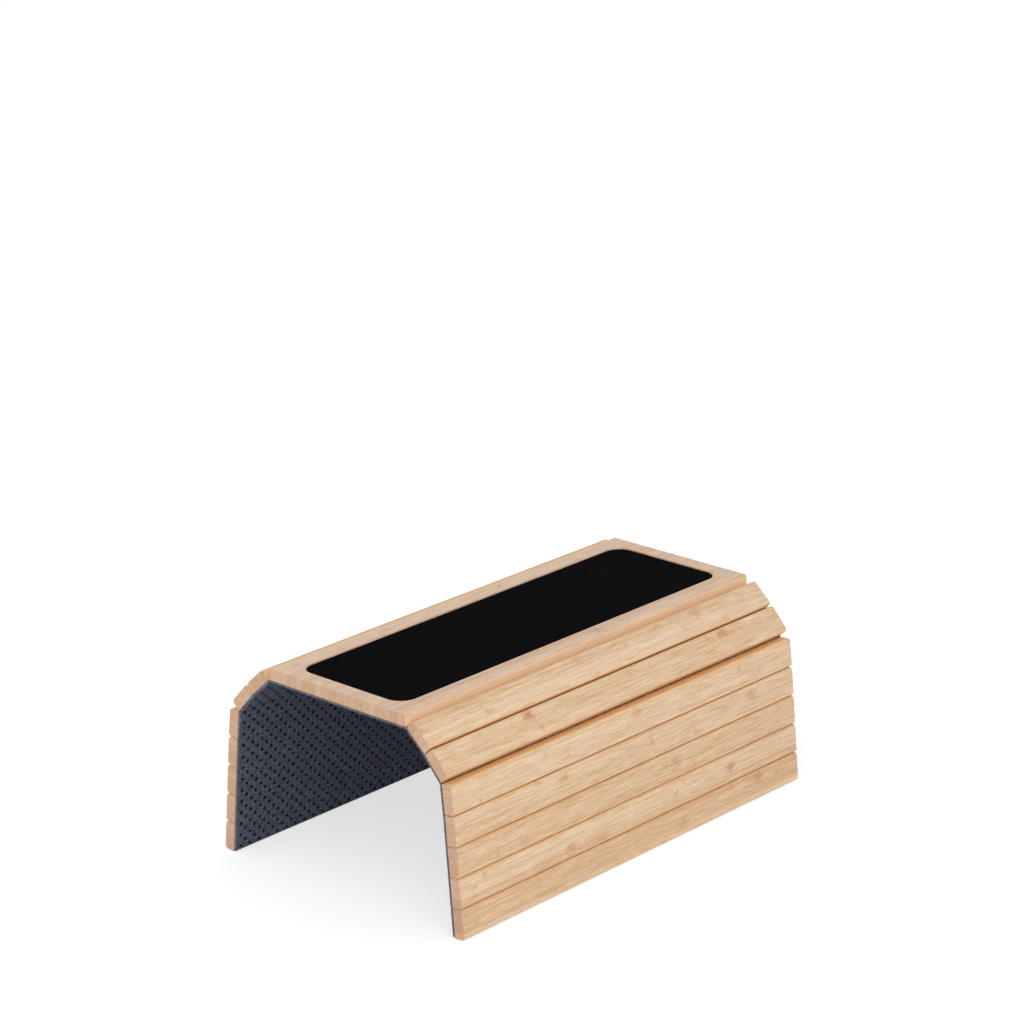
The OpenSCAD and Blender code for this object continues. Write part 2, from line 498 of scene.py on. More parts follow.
def principled(name, **values):
    """A material with a Principled shader: the material, its desk and the shader's inputs."""
    material = bpy.data.materials.new(name)
    material.use_nodes = True
    tree = material.node_tree
    tree.nodes.clear()
    desk = NodeDesk(tree)
    shader = desk.node("ShaderNodeBsdfPrincipled", values)
    desk.node("ShaderNodeOutputMaterial", {"Surface": shader.outputs[0]})
    return material, desk, shader.inputs


def bump(desk, shader, height, depth, strength=1.0):
    made = desk.node("ShaderNodeBump", {"Height": height, "Distance": depth,
                                        "Strength": strength})
    desk.feed(shader["Normal"], made.outputs[0])


def shared_group(make):
    """The group that make builds, built once and used by every material after that."""
    if make not in SHARED:
        SHARED[make] = make()
    return SHARED[make]


def bamboo_material(name, light, dark, rim_painted_light):
    wood = bpy.context.scene.arm_tray_wood
    material, desk, shader = principled(name, **{"Specular IOR Level": 0.3})
    made = desk.node("ShaderNodeGroup", node_tree=shared_group(bamboo_group))
    given = {
        "Place": desk.attribute("wood_place", "Vector"),
        "Half Size": desk.attribute("wood_half_size", "Vector"),
        **{label: desk.attribute(label, "Vector") for label in KNUCKLES},
        "Seed": desk.attribute("wood_seed"),
        "Tone": desk.attribute("wood_tone"),
        "End": desk.attribute("wood_end"),
        "Free Side": desk.attribute("wood_free_side"),
        "Strip Width": wood.strip_width / MM,
        "Knuckle Spacing": wood.knuckle_spacing / MM,
        "Light": opaque(light),
        "Dark": opaque(dark),
        "Knuckle Colour": opaque(wood.knuckle),
        # The rim colour is painted light on the rounded edges and in the saw cuts
        "Rim Painted Light": opaque(rim_painted_light),
        "End Light": opaque(wood.end_light),
        "End Dark": opaque(wood.end_dark),
    }
    for label, value in given.items():
        desk.feed(made.inputs[label], value)
    desk.feed(shader["Base Color"], made.outputs["Colour"])
    desk.feed(shader["Roughness"], made.outputs["Roughness"])
    bump(desk, shader, made.outputs["Height"], 0.08 * MM)
    return material


def grain_group():
    """Fine matt grain: a mask of raised specks and a height."""
    tree, desk, given = new_group(
        "fine grain", [(VECTOR, "Place", None), (FLOAT, "Grain Size", 0.35)],
        [(FLOAT, "Specks"), (FLOAT, "Height")])
    place = desk.scaled(given["Place"], (1000, 1000, 1000))
    size = desk.math("DIVIDE", 1.0, given["Grain Size"])
    cells = desk.node("ShaderNodeTexVoronoi", {"Vector": place, "Scale": size}).outputs["Distance"]
    clouds = desk.noise(place, 0.08, 3.0, 0.6)
    specks = desk.math("MULTIPLY", desk.fall(cells, 0.1, 0.6), desk.ramp(clouds, 0.2, 0.8))
    desk.node("NodeGroupOutput", {"Specks": specks, "Height": desk.fall(cells, 0.0, 0.8)})
    return tree


def pad_material():
    pad = bpy.context.scene.arm_tray_pad
    material, desk, shader = principled("black grip pad", **{"Specular IOR Level": 0.02})
    place = desk.node("ShaderNodeTexCoord").outputs["Object"]
    made = desk.node("ShaderNodeGroup", {}, node_tree=shared_group(grain_group))
    desk.feed(made.inputs["Place"], place)
    desk.feed(shader["Base Color"], desk.blend(
        made.outputs["Specks"], opaque(pad.colour), opaque(pad.grain)))
    desk.feed(shader["Roughness"], desk.math("MULTIPLY_ADD", made.outputs["Specks"], -0.1, 0.92))
    bump(desk, shader, made.outputs["Height"], 0.04 * MM)
    return material


def felt_group():
    """Pressed felt: crossing loose fibres over a mottled ground."""
    tree, desk, given = new_group(
        "felt fibres", [(VECTOR, "Place", None), (FLOAT, "Fibre Width", 0.16)],
        [(FLOAT, "Fibres"), (FLOAT, "Mottle"), (FLOAT, "Height")])
    place = desk.scaled(given["Place"], (1000, 1000, 1000))
    warp = desk.node("ShaderNodeTexNoise", {"Vector": place, "Scale": 0.5, "Detail": 2.0})
    bent = desk.node("ShaderNodeVectorMath",
                     {0: warp.outputs["Color"], 1: (1.6, 1.6, 1.6), 2: place},
                     operation="MULTIPLY_ADD").outputs[0]
    fibres = 0.0
    for turn, shift in ((0.3, 0), (1.3, 40), (2.4, 80)):
        turned = desk.node("ShaderNodeMapping", {"Vector": bent, "Location": (shift, 0, 0),
                                                 "Rotation": (0, 0, turn)}).outputs[0]
        stretched = desk.scaled(turned, (0.35, 2.4, 2.4))
        layer = desk.noise(stretched, 1.0, 2.0, 0.5)
        ridge = desk.math("ABSOLUTE", desk.math("SUBTRACT", layer, 0.5))
        width = desk.math("MULTIPLY", given["Fibre Width"], 0.3)
        line = desk.math("SUBTRACT", 1.0, desk.math("DIVIDE", ridge, width), clamp=True)
        fibres = desk.math("MAXIMUM", fibres, line)
    mottle = desk.noise(place, 0.9, 3.0, 0.7)
    fluff = desk.noise(place, 3.0, 3.0, 0.6)
    height = desk.sum_of((fibres, 0.6), (fluff, 0.5), (mottle, 0.4))
    desk.node("NodeGroupOutput", {"Fibres": fibres, "Mottle": desk.math(
        "MULTIPLY_ADD", fluff, 0.25, desk.math("MULTIPLY", mottle, 0.75)), "Height": height})
    return tree


def felt_material():
    felt = bpy.context.scene.arm_tray_felt
    material, desk, shader = principled(
        "charcoal felt", **{"Specular IOR Level": 0.15, "Sheen Weight": 0.12,
                            "Sheen Roughness": 0.5})
    made = desk.node("ShaderNodeGroup", node_tree=shared_group(felt_group))
    desk.feed(made.inputs["Place"], desk.attribute("felt_place", "Vector"))
    # Painted sheen: cut edges, loose fibres and the upper face are blended, mottled, towards the pale cut
    # colour, standing in for light caught by the fibres
    cut = desk.attribute("felt_cut")
    mottle = desk.ramp(made.outputs["Mottle"], 0.42, 0.6)
    shade = desk.sum_of((mottle, 0.72), (made.outputs["Fibres"], 0.34))
    ground = desk.blend(shade, opaque(felt.dark), opaque(felt.light))
    edge = desk.math("MULTIPLY", cut, desk.math("MULTIPLY_ADD", mottle, 0.7, 0.15))
    desk.feed(shader["Base Color"], desk.blend(edge, ground, opaque(felt.cut)))
    desk.feed(shader["Roughness"], desk.math("MULTIPLY_ADD", mottle, 0.08, 0.88))
    bump(desk, shader, made.outputs["Height"], 0.25 * MM)
    return material


def dot_material():
    felt = bpy.context.scene.arm_tray_felt
    material, desk, shader = principled("black grip dots", **{"Specular IOR Level": 0.06})
    place = desk.attribute("felt_place", "Vector")
    made = desk.node("ShaderNodeGroup", node_tree=shared_group(grain_group))
    desk.feed(made.inputs["Place"], place)
    desk.feed(made.inputs["Grain Size"], 0.25)
    colour = opaque(felt.dot_colour)
    lighter = opaque([2.2 * share for share in felt.dot_colour])
    desk.feed(shader["Base Color"], desk.blend(made.outputs["Specks"], colour, lighter))
    desk.feed(shader["Roughness"], desk.math("MULTIPLY_ADD", made.outputs["Specks"], 0.2, 0.6))
    bump(desk, shader, made.outputs["Height"], 0.02 * MM)
    return material


SHARP = math.radians(50)


def finish_mesh(bm, name, material):
    """Turns a bmesh into a linked object with its place in its mesh."""
    bm.normal_update()
    for f in bm.faces:
        f.smooth = True
    for e in bm.edges:
        e.smooth = not e.is_manifold or e.calc_face_angle() < SHARP
    mesh = bpy.data.meshes.new(name)
    bm.to_mesh(mesh)
    bm.free()
    piece = bpy.data.objects.new(name, mesh)
    bpy.context.scene.collection.objects.link(piece)
    mesh.materials.append(material)
    return piece


def keep_flats_flat(piece):
    """Keeps large flat faces even where they meet small rounded ones."""
    piece.modifiers.new("flat faces", "WEIGHTED_NORMAL").keep_sharp = True


def flat_rectangle(bm, width, depth):
    """One face on the XY plane, centred, and its four corner vertices."""
    made = bmesh.ops.create_grid(bm, x_segments=1, y_segments=1, size=0.5)
    bmesh.ops.scale(bm, vec=(width, depth, 1), verts=made["verts"])
    return made["verts"]


def round_corners(bm, corners, radius, steps):
    return bmesh.ops.bevel(bm, geom=corners, offset=radius, offset_type="OFFSET",
                           segments=steps, profile=0.5, affect="VERTICES", material=-1)


EDGE_STEPS = 7
EASE_STEPS = 2
CORNER_STEPS = 14
LIP_STEPS = 3
FLAT = 1e-6


def wood_bar(width, length, thick, wood):
    """A bar on Z = 0 about the origin, with rounded upper edges and slightly eased ends."""
    bm = bmesh.new()
    corners = flat_rectangle(bm, width, thick)
    upper = [v for v in corners if v.co.y > 0]
    lower = [v for v in corners if v.co.y < 0]
    round_corners(bm, upper, wood.edge_radius, EDGE_STEPS)
    round_corners(bm, lower, wood.end_ease / 2, 1)
    bmesh.ops.rotate(bm, cent=(0, 0, 0), matrix=Matrix.Rotation(math.pi / 2, 3, "X"),
                     verts=bm.verts[:])
    bmesh.ops.translate(bm, vec=(0, -length / 2, thick / 2), verts=bm.verts[:])
    made = bmesh.ops.extrude_face_region(bm, geom=bm.faces[:], use_keep_orig=True)
    far = [item for item in made["geom"] if isinstance(item, bmesh.types.BMVert)]
    bmesh.ops.translate(bm, vec=(0, length, 0), verts=far)
    bmesh.ops.recalc_face_normals(bm, faces=bm.faces[:])
    rim = [e for e in bm.edges if abs(sum(v.co.y for v in e.verts)) > length - FLAT]
    bmesh.ops.bevel(bm, geom=rim, offset=wood.end_ease, offset_type="OFFSET",
                    segments=EASE_STEPS, profile=0.5, affect="EDGES", material=-1)
    return bm


def cut_recess(bm, thick, wood):
    """Sinks the pad's recess into the top of the board, with a rounded lip."""
    top = max((f for f in bm.faces if f.normal.z > 0.9), key=lambda f: f.calc_area())
    outer = list(top.edges)
    bmesh.ops.delete(bm, geom=[top], context="FACES_ONLY")
    margin = 2 * (wood.recess_gap + wood.lip)
    corners = flat_rectangle(bm, PAD_HIGH.x - PAD_LOW.x + margin, PAD_HIGH.y - PAD_LOW.y + margin)
    bmesh.ops.translate(bm, vec=(0, 0, thick), verts=corners)
    rounded = round_corners(bm, corners, wood.recess_radius + wood.lip, CORNER_STEPS)
    floor = rounded["verts"][0].link_faces[0]
    if floor.normal.z < 0:
        floor.normal_flip()
    bmesh.ops.triangle_fill(bm, use_beauty=True, edges=outer + list(floor.edges),
                            normal=(0, 0, 1))
    turns = [math.pi / 2 * step / LIP_STEPS for step in range(LIP_STEPS + 1)]
    for start, end in zip(turns, turns[1:]):
        bmesh.ops.inset_region(
            bm, faces=[floor], use_even_offset=True, use_boundary=True,
            thickness=wood.lip * (math.sin(end) - math.sin(start)),
            depth=wood.lip * (math.cos(end) - math.cos(start)))
    floor = bmesh.ops.extrude_discrete_faces(bm, faces=[floor])["faces"][0]
    drop = PAD_LOW.z - BOARD_LOW.z - floor.calc_center_median().z
    bmesh.ops.translate(bm, vec=(0, 0, drop), verts=list(floor.verts))


def mark_wood(bm, half_size, seed, tone, knuckles, free_side=0):
    """Stores on the mesh where each point lies in its own bar, for the bamboo pattern.

    The free side is 1 or -1 where the bar has no neighbour at that side in X, and the painted bounce light
    is left off that side.
    """
    place = bm.verts.layers.float_vector.new("wood_place")
    half = bm.verts.layers.float_vector.new("wood_half_size")
    spots = [bm.verts.layers.float_vector.new(label) for label in KNUCKLES]
    number = bm.verts.layers.float.new("wood_seed")
    shade = bm.verts.layers.float.new("wood_tone")
    free = bm.verts.layers.float.new("wood_free_side")
    end = bm.faces.layers.float.new("wood_end")
    for v in bm.verts:
        v[place] = v.co
        v[half] = half_size
        for spot, (across, along, strength) in zip(spots, knuckles):
            v[spot] = (across * MM, along * MM, strength * MM)
        v[number] = seed
        v[shade] = tone
        v[free] = free_side
    bm.normal_update()
    for f in bm.faces:
        f[end] = float(abs(f.normal.y) > 0.8)


def finish_wood(bm, name, matrix, body, material):
    """Places a marked bar, gives it its bamboo and lets it ride on its body."""
    bmesh.ops.transform(bm, matrix=matrix, verts=bm.verts[:])
    piece = finish_mesh(bm, name, material)
    keep_flats_flat(piece)
    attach(piece, body)
    return piece


def slat_matrix(side, n):
    """Where a bar drawn about the middle of its underside lies on slat n."""
    out = OUTWARD[side]
    return (Matrix.Translation(hinge(side, n))
            @ Matrix.Rotation(out * slope(side, n), 4, "Y")
            @ Matrix.Translation((out * PITCH / 2, 0, FELT_THICK / 2)))


class ARMTRAY_OT_centre_board(Operator):
    """Make the wide middle board with the recess for the grip pad"""
    bl_idname = "arm_tray.centre_board"
    bl_label = "Centre board"

    def execute(self, context):
        wood = context.scene.arm_tray_wood
        width = BOARD_HIGH.x - BOARD_LOW.x
        bm = wood_bar(width, TRAY_LENGTH, WOOD_THICK, wood)
        cut_recess(bm, WOOD_THICK, wood)
        mark_wood(bm, (width / 2, TRAY_LENGTH / 2, WOOD_THICK), 0.5, BOARD_TONE,
                  BOARD_KNUCKLES)
        material = bamboo_material(
            "laminated board", wood.board_light, wood.board_dark, wood.board_rim_painted_light)
        piece = finish_wood(bm, "tray_board", Matrix.Translation((0, 0, BOARD_LOW.z)),
                            ROOT_BODY, material)
        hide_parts("centre_board")
        return {"FINISHED"}


class ARMTRAY_OT_slats(Operator):
    """Make the narrow slats on both sides"""
    bl_idname = "arm_tray.slats"
    bl_label = "Slats"

    def execute(self, context):
        wood = context.scene.arm_tray_wood
        width = PITCH - KERF
        material = bamboo_material("laminated slats", wood.light, wood.dark, wood.rim_painted_light)
        for side in SIDES:
            for n in range(1, SLATS + 1):
                bm = wood_bar(width, TRAY_LENGTH, WOOD_THICK, wood)
                seed = n + (SLATS if side == "right" else 0)
                mark_wood(bm, (width / 2, TRAY_LENGTH / 2, WOOD_THICK), seed,
                          SLAT_TONES[side][n - 1], SLAT_KNUCKLES[side][n - 1],
                          OUTWARD[side] if n == SLATS else 0)
                piece = finish_wood(bm, f"bamboo_slat_{side}_{n}", slat_matrix(side, n),
                                    body_name(side, n), material)
                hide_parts(f"slat_{side}_{n}")
        return {"FINISHED"}


class ARMTRAY_OT_grip_pad(Operator):
    """Make the black grip pad that lies in the board's recess"""
    bl_idname = "arm_tray.grip_pad"
    bl_label = "Grip pad"

    def execute(self, context):
        wood, pad = context.scene.arm_tray_wood, context.scene.arm_tray_pad
        bm = bmesh.new()
        corners = flat_rectangle(bm, PAD_HIGH.x - PAD_LOW.x, PAD_HIGH.y - PAD_LOW.y)
        round_corners(bm, corners, wood.recess_radius - wood.recess_gap, CORNER_STEPS)
        made = bmesh.ops.extrude_face_region(bm, geom=bm.faces[:], use_keep_orig=True)
        top = [item for item in made["geom"] if isinstance(item, bmesh.types.BMVert)]
        thick = PAD_HIGH.z - PAD_LOW.z
        bmesh.ops.translate(bm, vec=(0, 0, thick), verts=top)
        bmesh.ops.recalc_face_normals(bm, faces=bm.faces[:])
        rim = [e for e in bm.edges if all(v.co.z > thick - FLAT for v in e.verts)]
        bmesh.ops.bevel(bm, geom=rim, offset=pad.edge, offset_type="OFFSET",
                        segments=LIP_STEPS, profile=0.5, affect="EDGES", material=-1)
        bmesh.ops.translate(bm, vec=(0, 0, PAD_LOW.z), verts=bm.verts[:])
        piece = finish_mesh(bm, "black_grip_pad", pad_material())
        keep_flats_flat(piece)
        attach(piece, ROOT_BODY)
        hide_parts("grip_pad")
        return {"FINISHED"}


# The felt is made in strips, each across one joint. A strip starts this far past the joint
# before its own and ends as far past its own, so that every seam lies under a slat
SEAM = 8 * MM
FELT_CELL = 5 * MM
BEND_CELLS = 5
SETTLE_STEPS = 14
# Share of the painted sheen on the felt's upper face, which shows in the gaps at the joints, and the name of
# its mask
UPPER_PAINTED_SHEEN = 0.7
PAINTED_SHEEN = "felt_cut"
HAIR_SIDES = 3
FREE_FUZZ = 0.6 * MM
DOT_SIDES = 10
DOT_RINGS = 4


class FeltStrip:
    """A strip of felt, drawn flat and then laid on the tray.

    Flat, out runs away from the strip's hinge line and up runs towards the wood, from the
    middle of the felt.
    """

    def __init__(self, side, n, low, high, bend=0.0):
        self.low, self.high, self.reach = low, high, bend
        self.out = OUTWARD[side]
        self.hinge = hinge(side, n)
        self.first, self.turn = slope(side, n - 1), fold(side, n)
        self.far = HALF_BOARD + (n - 1) * PITCH
        self.start, self.end = self.turned(-bend, 0, 0), self.turned(bend, 0, 1)

    def turned(self, out, up, share):
        """A flat point once this share of the joint's fold is done."""
        angle = self.first + share * self.turn
        level, drop = math.cos(angle), math.sin(angle)
        return Vector((self.hinge.x + self.out * (out * level + up * drop), 0,
                       self.hinge.z - out * drop + up * level))

    def laid(self, flat):
        """Where a flat point (out, along, up) lies at rest."""
        out, along, up = flat
        share = 0.0 if out < 0 else 1.0
        if abs(out) < 3 * self.reach:
            line = self.end - self.start
            line /= line.length_squared
            for _ in range(SETTLE_STEPS):
                gone = (self.turned(out, up, share) - self.start).dot(line)
                gone = min(1.0, max(0.0, gone))
                share = gone * gone * (3 - 2 * gone)
        place = self.turned(out, up, share)
        place.y = along
        return place

    def across(self, out):
        """Distance from the middle of the flat tray, negative on the left."""
        return self.out * (self.far + out)


class FeltMiddle:
    """The flat strip of felt under the board, drawn and laid like the others."""

    def __init__(self, half):
        self.low, self.high, self.reach = -half, half, 0.0
        self.level = (FELT_LOW.z + FELT_HIGH.z) / 2

    def laid(self, flat):
        out, along, up = flat
        return Vector((out, along, self.level + up))

    def across(self, out):
        return out


def felt_strips(felt):
    """(name, strip, bodies, nodes it stands for, wood above it) for the whole sheet."""
    reach = PITCH - SEAM
    free_edge = PITCH - KERF / 2 - felt.short_edge
    rows = [("middle", FeltMiddle(HALF_BOARD - reach), (ROOT_BODY,), ["felt_centre"],
             "centre_board")]
    for side in SIDES:
        for n in range(1, SLATS + 1):
            rows.append((f"{side}_{n}", FeltStrip(side, n, -reach, SEAM, felt.bend),
                         (body_name(side, n - 1), body_name(side, n)), [f"felt_{side}_{n}"],
                         f"slat_{side}_{n}"))
        rows.append((f"{side}_edge", FeltStrip(side, SLATS, SEAM, free_edge),
                     (body_name(side, SLATS),), [], f"slat_{side}_{SLATS}"))
    return rows


def ride_strip(piece, strip, bodies):
    """The piece rides on one body, or bends between two as the felt does."""
    if len(bodies) == 1:
        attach(piece, bodies[0])
    else:
        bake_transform(piece, *bodies, start=strip.start, end=strip.end)


def lay(bm, strip):
    """Stores each vertex's place on the flat sheet, then moves it to where it lies."""
    flat_place = bm.verts.layers.float_vector.new("felt_place")
    for v in bm.verts:
        v[flat_place] = (strip.across(v.co.x), v.co.y, v.co.z)
        v.co = strip.laid(v.co)
    bmesh.ops.recalc_face_normals(bm, faces=bm.faces[:])


class Heap:
    """Adds many small shapes to a mesh, a few at a time, which stays quick for thousands."""

    BATCH = 6

    def __init__(self, bm):
        self.bm = bm
        self.batch = bmesh.new()
        self.carrier = bpy.data.meshes.new("carrier")
        self.count = 0

    def add(self, make, **options):
        """One more shape, made by this bmesh operator."""
        make(self.batch, **options)
        self.count += 1
        if self.count % self.BATCH == 0:
            self.pour()

    def pour(self):
        self.batch.to_mesh(self.carrier)
        self.bm.from_mesh(self.carrier)
        self.batch.clear()

    def close(self):
        self.pour()
        self.batch.free()
        bpy.data.meshes.remove(self.carrier)


def ripple(x, y, size):
    """Even unevenness between -1 and 1 with bumps of about this size."""
    return noise.noise(Vector((x / size, y / size, 0.0)))


def sheet_mesh(strip, felt):
    """The flat strip: a thin closed slab with softened cut edges."""
    bm = bmesh.new()
    width = strip.high - strip.low
    made = bmesh.ops.create_grid(
        bm, x_segments=max(1, round(width / FELT_CELL)),
        y_segments=round(TRAY_LENGTH / FELT_CELL), size=0.5)
    bmesh.ops.scale(bm, vec=(width, TRAY_LENGTH, 1), verts=made["verts"])
    bmesh.ops.translate(bm, vec=((strip.low + strip.high) / 2, 0, FELT_THICK / 2),
                        verts=made["verts"])
    if strip.reach:
        for step in range(-BEND_CELLS, BEND_CELLS + 1):
            bmesh.ops.bisect_plane(
                bm, geom=bm.verts[:] + bm.edges[:] + bm.faces[:], dist=FLAT,
                plane_co=(strip.reach * step / BEND_CELLS, 0, 0), plane_no=(1, 0, 0))
    made = bmesh.ops.extrude_face_region(bm, geom=bm.faces[:], use_keep_orig=True)
    lower = [item for item in made["geom"] if isinstance(item, bmesh.types.BMVert)]
    bmesh.ops.translate(bm, vec=(0, 0, -FELT_THICK), verts=lower)
    bmesh.ops.recalc_face_normals(bm, faces=bm.faces[:])
    half = TRAY_LENGTH / 2 - FLAT
    rim = [e for e in bm.edges if all(abs(v.co.y) > half for v in e.verts)
           and abs(e.verts[0].co.z - e.verts[1].co.z) < FLAT]
    bmesh.ops.bevel(bm, geom=rim, offset=FELT_THICK / 4, offset_type="OFFSET", segments=2,
                    profile=0.5, affect="EDGES", material=-1)
    # Painted sheen: cut faces get the full pale colour and the upper face a share of it, standing in for
    # light caught by the fibres
    cut = bm.faces.layers.float.new(PAINTED_SHEEN)
    bm.normal_update()
    for f in bm.faces:
        f[cut] = 1.0 if abs(f.normal.y) > 0.3 or abs(f.normal.x) > 0.9 else (
            UPPER_PAINTED_SHEEN if f.normal.z > 0 else 0.0)
    for v in bm.verts:
        x = strip.across(v.co.x)
        if abs(v.co.y) > half:
            v.co.y += felt.waviness * ripple(x, v.co.y, 3 * MM)
        if v.co.z < 0:
            v.co.z -= felt.waviness * (1 + ripple(x, v.co.y, 9 * MM)) / 2
    return bm


def add_hair(heap, root, direction, most_out, felt, rng):
    """One loose fibre: a thin tapered spike from root that stays short of most_out."""
    length = felt.hair_length * rng.uniform(0.45, 1.25)
    aim = direction.normalized()
    if root.x + aim.x * length > most_out:
        aim.x = -aim.x
    matrix = (Matrix.Translation(root + aim * length / 2)
              @ aim.to_track_quat("Z", "Y").to_matrix().to_4x4())
    heap.add(bmesh.ops.create_cone, cap_ends=True, cap_tris=True, segments=HAIR_SIDES,
             depth=length, radius1=felt.hair_width / 2, radius2=felt.hair_width / 6,
             matrix=matrix)


def add_hairs(bm, strip, felt, rng):
    """Loose fibres along the cut ends, and along the free edge or in the joint's gap."""
    half_thick = FELT_THICK / 2
    width = strip.high - strip.low
    sheet_faces = set(bm.faces)
    heap = Heap(bm)
    for end in (-1, 1):
        for _ in range(round(width / MM * felt.hairs_per_mm)):
            root = Vector((rng.uniform(strip.low, strip.high), end * (TRAY_LENGTH / 2 - 0.1 * MM),
                           rng.uniform(-0.85, 0.85) * half_thick))
            aim = Vector((rng.gauss(0, 0.6), end, rng.gauss(-0.15, 0.5)))
            add_hair(heap, root, aim, strip.high, felt, rng)
    for _ in range(round(TRAY_LENGTH / MM * felt.hairs_per_mm / 2)):
        along = rng.uniform(-TRAY_LENGTH, TRAY_LENGTH) / 2
        if strip.reach:
            root = Vector((rng.uniform(-0.15, 0.15) * MM, along, half_thick - 0.05 * MM))
            aim = Vector((rng.gauss(0, 0.4), rng.gauss(0, 0.7), 0.01 + abs(rng.gauss(0, 0.6))))
        elif strip.low > 0:
            root = Vector((strip.high - 0.1 * MM, along, rng.uniform(-0.3, 0.8) * half_thick))
            aim = Vector((0.4, rng.gauss(0, 0.9), rng.gauss(0, 0.4)))
        else:
            break
        add_hair(heap, root, aim, strip.high + FREE_FUZZ, felt, rng)
    heap.close()
    # Painted sheen: the loose fibres get the full pale colour
    cut = bm.faces.layers.float[PAINTED_SHEEN]
    for f in bm.faces:
        if f not in sheet_faces:
            f[cut] = 1.0


class ARMTRAY_OT_felt(Operator):
    """Make the felt sheet under the wood, which bends at every joint"""
    bl_idname = "arm_tray.felt"
    bl_label = "Felt sheet"

    def execute(self, context):
        felt = context.scene.arm_tray_felt
        material = felt_material()
        for index, (name, strip, bodies, nodes, wood) in enumerate(felt_strips(felt)):
            bm = sheet_mesh(strip, felt)
            add_hairs(bm, strip, felt, random.Random(felt.seed + index))
            lay(bm, strip)
            piece = finish_mesh(bm, f"felt_sheet_{name}", material)
            ride_strip(piece, strip, bodies)
            if nodes:
                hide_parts(*nodes)
        return {"FINISHED"}


def dot_spots(felt):
    """Places on the flat sheet of every grip dot: a lattice with a dot amid each four."""
    half_across = HALF_BOARD + SLATS * PITCH
    columns = math.ceil(half_across / felt.dot_pitch_across)
    rows = math.ceil(TRAY_LENGTH / 2 / felt.dot_pitch_along)
    for column in range(-2 * columns, 2 * columns + 1):
        for row in range(-rows, rows + 1):
            across = column * felt.dot_pitch_across / 2
            along = (row + (column % 2) / 2) * felt.dot_pitch_along
            if abs(along) < TRAY_LENGTH / 2 - felt.dot_width / 2:
                yield across, along


class ARMTRAY_OT_grip_dots(Operator):
    """Make the small raised grip dots on the lower face of the felt"""
    bl_idname = "arm_tray.grip_dots"
    bl_label = "Grip dots"

    def execute(self, context):
        felt = context.scene.arm_tray_felt
        material = dot_material()
        rng = random.Random(felt.seed)
        spots = [(across, along, rng.uniform(0.88, 1.08), rng.uniform(0.9, 1.15))
                 for across, along in dot_spots(felt)]
        for name, strip, bodies, *_ in felt_strips(felt):
            bm = bmesh.new()
            heap = Heap(bm)
            edge = felt.dot_width / 2 if name.endswith("edge") else 0.0
            low, high = sorted((strip.across(strip.low), strip.across(strip.high)))
            for across, along, wide, tall in spots:
                if not low <= across < high:
                    continue
                out = across if name == "middle" else abs(across) - strip.far
                if edge and out > strip.high - edge:
                    continue
                radius = felt.dot_width / 2 * wide
                sink = felt.waviness * (1 + ripple(across, along, 9 * MM)) / 2
                matrix = (Matrix.Translation((out, along, -FELT_THICK / 2 - sink))
                          @ Matrix.Diagonal((radius, radius * 1.1, felt.dot_height * tall, 1)))
                heap.add(bmesh.ops.create_uvsphere, u_segments=DOT_SIDES,
                         v_segments=DOT_RINGS, radius=1, matrix=matrix)
            heap.close()
            lay(bm, strip)
            piece = finish_mesh(bm, f"grip_dots_{name}", material)
            ride_strip(piece, strip, bodies)
        return {"FINISHED"}


def backdrop_material():
    """Floor that is white to the camera where it is lit, and keeps the shadows."""
    material = bpy.data.materials.new("white studio floor")
    material.use_nodes = True
    tree = material.node_tree
    tree.nodes.clear()
    desk = NodeDesk(tree)
    seen = desk.node("ShaderNodeLightPath").outputs
    shown = desk.math("MAXIMUM", seen["Is Camera Ray"],
                      desk.math("MAXIMUM", seen["Is Glossy Ray"], seen["Is Transmission Ray"]))
    share = desk.math("MULTIPLY_ADD", shown, FLOOR_SHARE_SEEN - FLOOR_SHARE, FLOOR_SHARE)
    ground = desk.node("ShaderNodeBsdfDiffuse", {"Color": desk.joined(share, share, share)})
    glow = desk.node("ShaderNodeEmission", {
        "Color": opaque((1, 1, 1)), "Strength": desk.math("MULTIPLY", shown, FLOOR_GLOW)})
    lit = desk.node("ShaderNodeAddShader", {0: ground.outputs[0], 1: glow.outputs[0]})
    clear = desk.node("ShaderNodeBsdfTransparent")
    below = desk.math("MULTIPLY", desk.node("ShaderNodeNewGeometry").outputs["Backfacing"],
                      seen["Is Camera Ray"])
    mixed = desk.node("ShaderNodeMixShader", {0: below, 1: lit.outputs[0], 2: clear.outputs[0]})
    desk.node("ShaderNodeOutputMaterial", {"Surface": mixed.outputs[0]})
    return material


def even_sky(strength):
    """White to the camera, and an even light of this strength for everything else."""
    world = bpy.data.worlds.new("even sky")
    world.use_nodes = True
    world.node_tree.nodes.clear()
    desk = NodeDesk(world.node_tree)
    seen = desk.node("ShaderNodeLightPath").outputs
    shown = desk.math("MAXIMUM", seen["Is Camera Ray"],
                      desk.math("MAXIMUM", seen["Is Glossy Ray"], seen["Is Transmission Ray"]))
    level = desk.math("MULTIPLY_ADD", shown, 1.0 - strength, strength)
    sky = desk.node("ShaderNodeBackground", {"Color": opaque((1, 1, 1)), "Strength": level})
    desk.node("ShaderNodeOutputWorld", {"Surface": sky.outputs[0]})
    bpy.context.scene.world = world


def soft_light(name, place, aim, width, power):
    """A square lamp that faces a point."""
    lamp = bpy.data.lights.new(name, "AREA")
    lamp.shape, lamp.size, lamp.energy = "SQUARE", width, power
    item = bpy.data.objects.new(name, lamp)
    bpy.context.scene.collection.objects.link(item)
    item.location = place
    item.rotation_euler = (Vector(aim) - Vector(place)).to_track_quat("-Z", "Y").to_euler()


